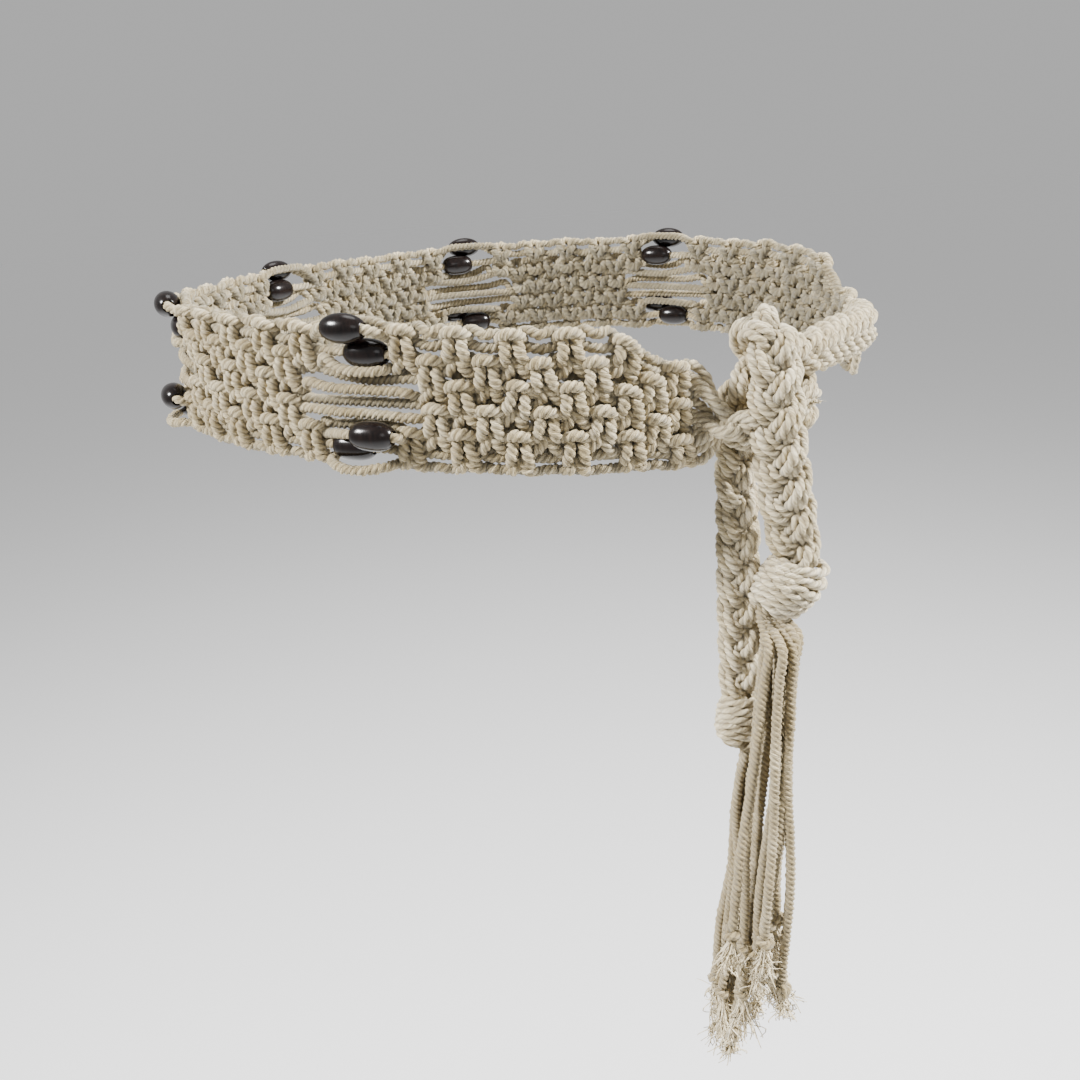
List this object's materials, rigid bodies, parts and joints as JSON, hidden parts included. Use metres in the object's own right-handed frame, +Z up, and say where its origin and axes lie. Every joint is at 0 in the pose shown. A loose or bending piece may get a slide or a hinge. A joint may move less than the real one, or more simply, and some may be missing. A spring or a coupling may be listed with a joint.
{
  "type": "macrame belt",
  "caption": "Knotted cotton-cord hip belt with beaded open windows, in its worn oval, tied in a half knot with two braided ends and knotted fringes.",
  "frame": {"origin": "centre of the waist opening, on the middle line of the band at the wearer's front", "axes": "+Z up, -Y the wearer's front, +X the wearer's left; millimetres in the source, metres in the row"},
  "size_m": [0.3543, 0.3622, 0.354],
  "materials": {
    "cotton_cord": "natural twisted cotton, matt",
    "dark_wood": "dark brown wood, semi-gloss"
  },
  "bodies": {
    "root": {"knotted_band": "cotton_cord", "bead_1_upper_outer": "dark_wood", "bead_1_upper_inner": "dark_wood", "bead_1_lower_inner": "dark_wood", "bead_1_lower_outer": "dark_wood", "bead_2_upper_outer": "dark_wood", "bead_2_upper_inner": "dark_wood", "bead_2_lower_inner": "dark_wood", "bead_2_lower_outer": "dark_wood", "bead_3_upper_outer": "dark_wood", "bead_3_upper_inner": "dark_wood", "bead_3_lower_inner": "dark_wood", "bead_3_lower_outer": "dark_wood", "bead_4_upper_outer": "dark_wood", "bead_4_upper_inner": "dark_wood", "bead_4_lower_inner": "dark_wood", "bead_4_lower_outer": "dark_wood", "bead_5_upper_outer": "dark_wood", "bead_5_upper_inner": "dark_wood", "bead_5_lower_inner": "dark_wood", "bead_5_lower_outer": "dark_wood", "near_braid": "cotton_cord", "far_braid": "cotton_cord", "near_tassel": "cotton_cord", "far_tassel": "cotton_cord"}
  },
  "joints": []
}
